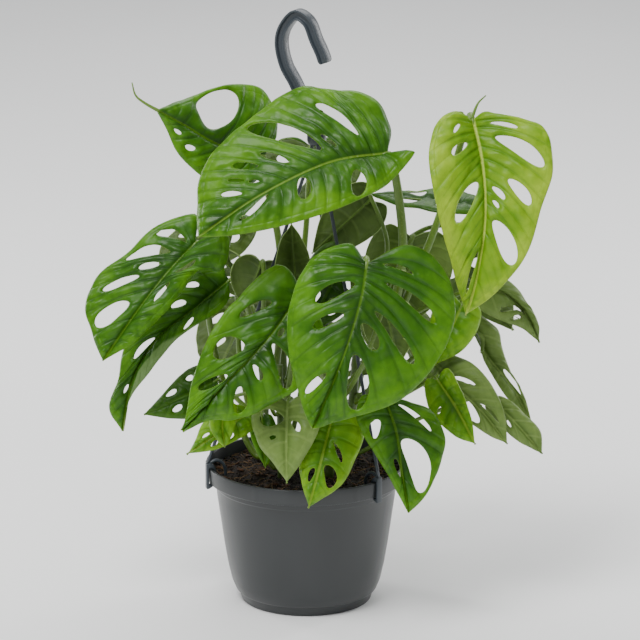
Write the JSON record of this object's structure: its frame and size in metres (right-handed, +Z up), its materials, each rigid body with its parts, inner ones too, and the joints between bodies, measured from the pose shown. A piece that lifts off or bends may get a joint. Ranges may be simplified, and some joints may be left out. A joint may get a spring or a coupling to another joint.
{
  "type": "monstera adansonii house plant in a hanging pot",
  "caption": "Bushy potted aroid with heart-shaped leaves full of oval holes, rooted in compost in a round plastic pot that hangs from a hook by three thin strands.",
  "frame": {"origin": "middle of the flat base of the pot", "axes": "+Z up along the axis of the pot, -Y towards the side the largest leaves face, +X to the right as seen from there"},
  "size_m": [0.387, 0.2807, 0.5083],
  "materials": {
    "pot_plastic": "satin",
    "hanger_plastic": "satin",
    "compost": "matte",
    "green_stem": "satin",
    "leaf": "satin",
    "young_leaf": "satin",
    "shaded_leaf": "satin"
  },
  "bodies": {
    "root": {"pot": "pot_plastic", "soil": "compost", "hanger_hook": "hanger_plastic", "hanger_leg_left": "hanger_plastic", "hanger_leg_right": "hanger_plastic", "hanger_leg_back": "hanger_plastic", "stem_front_right": "green_stem", "stem_front_left": "green_stem", "stem_left": "green_stem", "stem_right": "green_stem", "stem_back_right": "green_stem", "stem_back_left": "green_stem", "leaf_crown": "leaf", "leaf_upper_left": "leaf", "leaf_right_pale": "young_leaf", "leaf_front_centre": "leaf", "leaf_front_left": "leaf", "leaf_left": "leaf", "leaf_left_low": "leaf", "leaf_left_dark": "shaded_leaf", "leaf_low_left": "young_leaf", "leaf_low_left_small": "young_leaf", "leaf_bottom_fold": "leaf", "leaf_bottom_small": "leaf", "leaf_bottom_centre": "leaf", "leaf_bottom_right": "leaf", "leaf_right_low_pale": "young_leaf", "leaf_right_grey": "shaded_leaf", "leaf_right_far": "shaded_leaf", "leaf_right_edge": "shaded_leaf", "leaf_right_under": "shaded_leaf", "leaf_centre_young": "shaded_leaf", "leaf_inner_left": "shaded_leaf", "leaf_inner_right": "shaded_leaf", "leaf_inner_low": "shaded_leaf", "leaf_inner_middle": "shaded_leaf", "leaf_right_middle": "young_leaf", "leaf_inner_grey": "shaded_leaf", "leaf_back_right_high": "leaf", "leaf_back_flat": "shaded_leaf", "leaf_back_top": "leaf", "leaf_back_left_high": "leaf", "leaf_back_left_low": "leaf", "leaf_back_middle": "leaf", "leaf_back_right_low": "leaf", "leaf_back_right_side": "shaded_leaf"}
  },
  "joints": []
}
